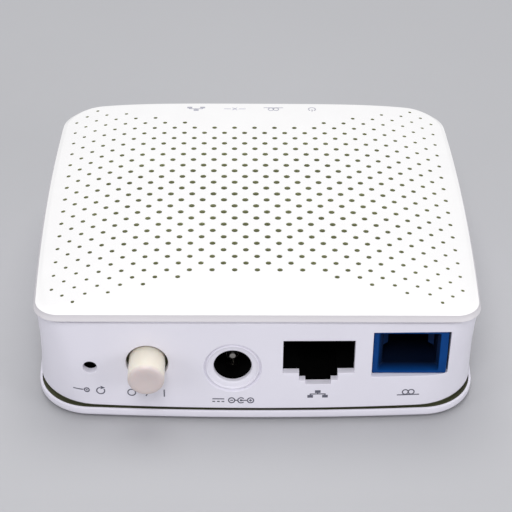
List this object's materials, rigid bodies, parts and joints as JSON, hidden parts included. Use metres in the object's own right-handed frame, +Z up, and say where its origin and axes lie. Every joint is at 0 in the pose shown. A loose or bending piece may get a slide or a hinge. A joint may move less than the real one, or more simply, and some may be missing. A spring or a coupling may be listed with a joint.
{
  "type": "optical network terminal",
  "caption": "Small flat desktop optical network terminal with a perforated crowned cover, a push power button, reset pinhole, power inlet, network socket and optical socket",
  "frame": {"origin": "Middle of the whole object's footprint, power button included, on the surface it stands on", "axes": "+Z up, the port panel faces -Y, +X to the right as seen from the port side"},
  "size_m": [0.0764, 0.0712, 0.0246],
  "materials": {
    "white_plastic": "fine satin moulding texture",
    "body_plastic": "fine satin moulding texture",
    "cream_plastic": "satin",
    "black_plastic": "satin",
    "dark_plastic": "satin",
    "blue_plastic": "satin",
    "natural_plastic": "satin",
    "clear_plastic": "clear moulding",
    "rubber": "matt",
    "label": "smooth film",
    "steel": "bright zinc plate",
    "tin": "tinned",
    "nickel": "bright nickel plate",
    "gilt": "thin gold plate",
    "aluminium": "bare",
    "ceramic": "polished ceramic",
    "board_green": "solder mask",
    "chip_epoxy": "moulded epoxy",
    "pad_grey": "soft silicone",
    "ferrite": "sintered",
    "capacitor_tan": "fired ceramic",
    "light_cream": "clear epoxy"
  },
  "bodies": {
    "root": {"top_cover": "white_plastic", "main_body": "body_plastic", "base_cover": "body_plastic", "rubber_feet": "rubber", "case_screws": "steel", "rating_label": "label", "power_switch_body": "dark_plastic", "power_switch_spring": "steel", "power_switch_pins": "tin", "reset_switch_body": "dark_plastic", "reset_switch_pins": "tin", "dc_jack_body": "black_plastic", "dc_jack_centre_pin": "nickel", "dc_jack_spring_contact": "nickel", "dc_jack_tabs": "tin", "network_jack": "black_plastic", "network_contacts": "gilt", "network_jack_pins": "tin", "optical_adapter": "blue_plastic", "optical_latch_insert": "natural_plastic", "ferrule_sleeve": "ceramic", "optical_transceiver": "nickel", "transceiver_leads": "gilt", "optics_shield": "tin", "main_board": "board_green", "board_screws": "steel", "main_processor": "chip_epoxy", "thermal_pad": "pad_grey", "heat_sink": "aluminium", "memory_chip": "chip_epoxy", "flash_chip": "chip_epoxy", "network_transformer": "chip_epoxy", "clock_crystal": "steel", "power_coils": "ferrite", "bulk_capacitors": "aluminium", "converter_chips": "chip_epoxy", "protection_diode": "chip_epoxy", "small_capacitors": "capacitor_tan", "small_resistors": "chip_epoxy", "status_leds": "light_cream", "light_pipes": "clear_plastic"},
    "power_button": {"power_button_cap": "cream_plastic", "power_switch_plunger": "natural_plastic"},
    "reset_button": {"reset_switch_plunger": "black_plastic"}
  },
  "joints": [
    {"name": "power_button_press", "type": "slide", "parent": "root", "child": "power_button", "axis": [0, 1, 0], "range_m": [0, 0.0025], "stiffness_N_per_m": 500, "springref_m": -0.0015, "deforming": ["power_switch_spring"]},
    {"name": "reset_button_press", "type": "slide", "parent": "root", "child": "reset_button", "axis": [0, 1, 0], "range_m": [0, 0.00025], "stiffness_N_per_m": 5000, "springref_m": -0.00005}
  ]
}
